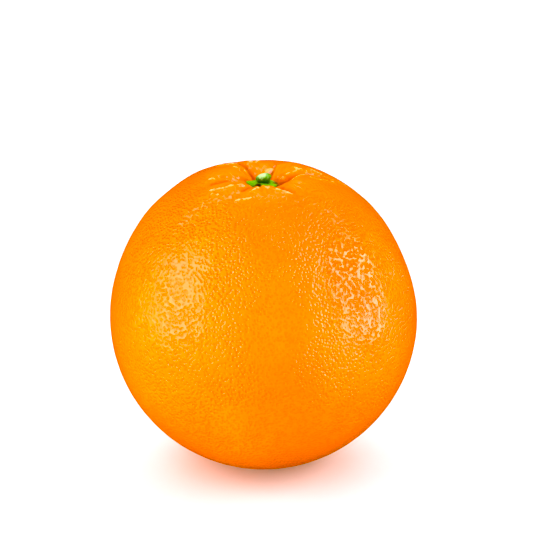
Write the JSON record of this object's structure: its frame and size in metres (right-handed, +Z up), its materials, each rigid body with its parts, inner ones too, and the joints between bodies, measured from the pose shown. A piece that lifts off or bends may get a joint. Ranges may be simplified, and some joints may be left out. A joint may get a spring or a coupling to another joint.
{
  "type": "orange",
  "caption": "Whole round orange resting on a small flat spot, stem end up, with furrows round its dimple, pitted rind, a small green lobed calyx and a cut stem end.",
  "frame": {"origin": "middle of the flat spot that the fruit rests on", "axes": "+Z up out of the flat spot towards the stem end, -Y the front of the fruit, which the stem end leans towards by 4 degrees, +X to the right seen from the front"},
  "size_m": [0.0779, 0.078, 0.0766],
  "materials": {
    "rind": "waxy, satin, pitted orange peel",
    "calyx": "fresh green, lightly wrinkled",
    "stem": "moist pale green, satin"
  },
  "bodies": {
    "root": {"rind": "rind", "calyx": "calyx", "stem_end": "stem"}
  },
  "joints": []
}
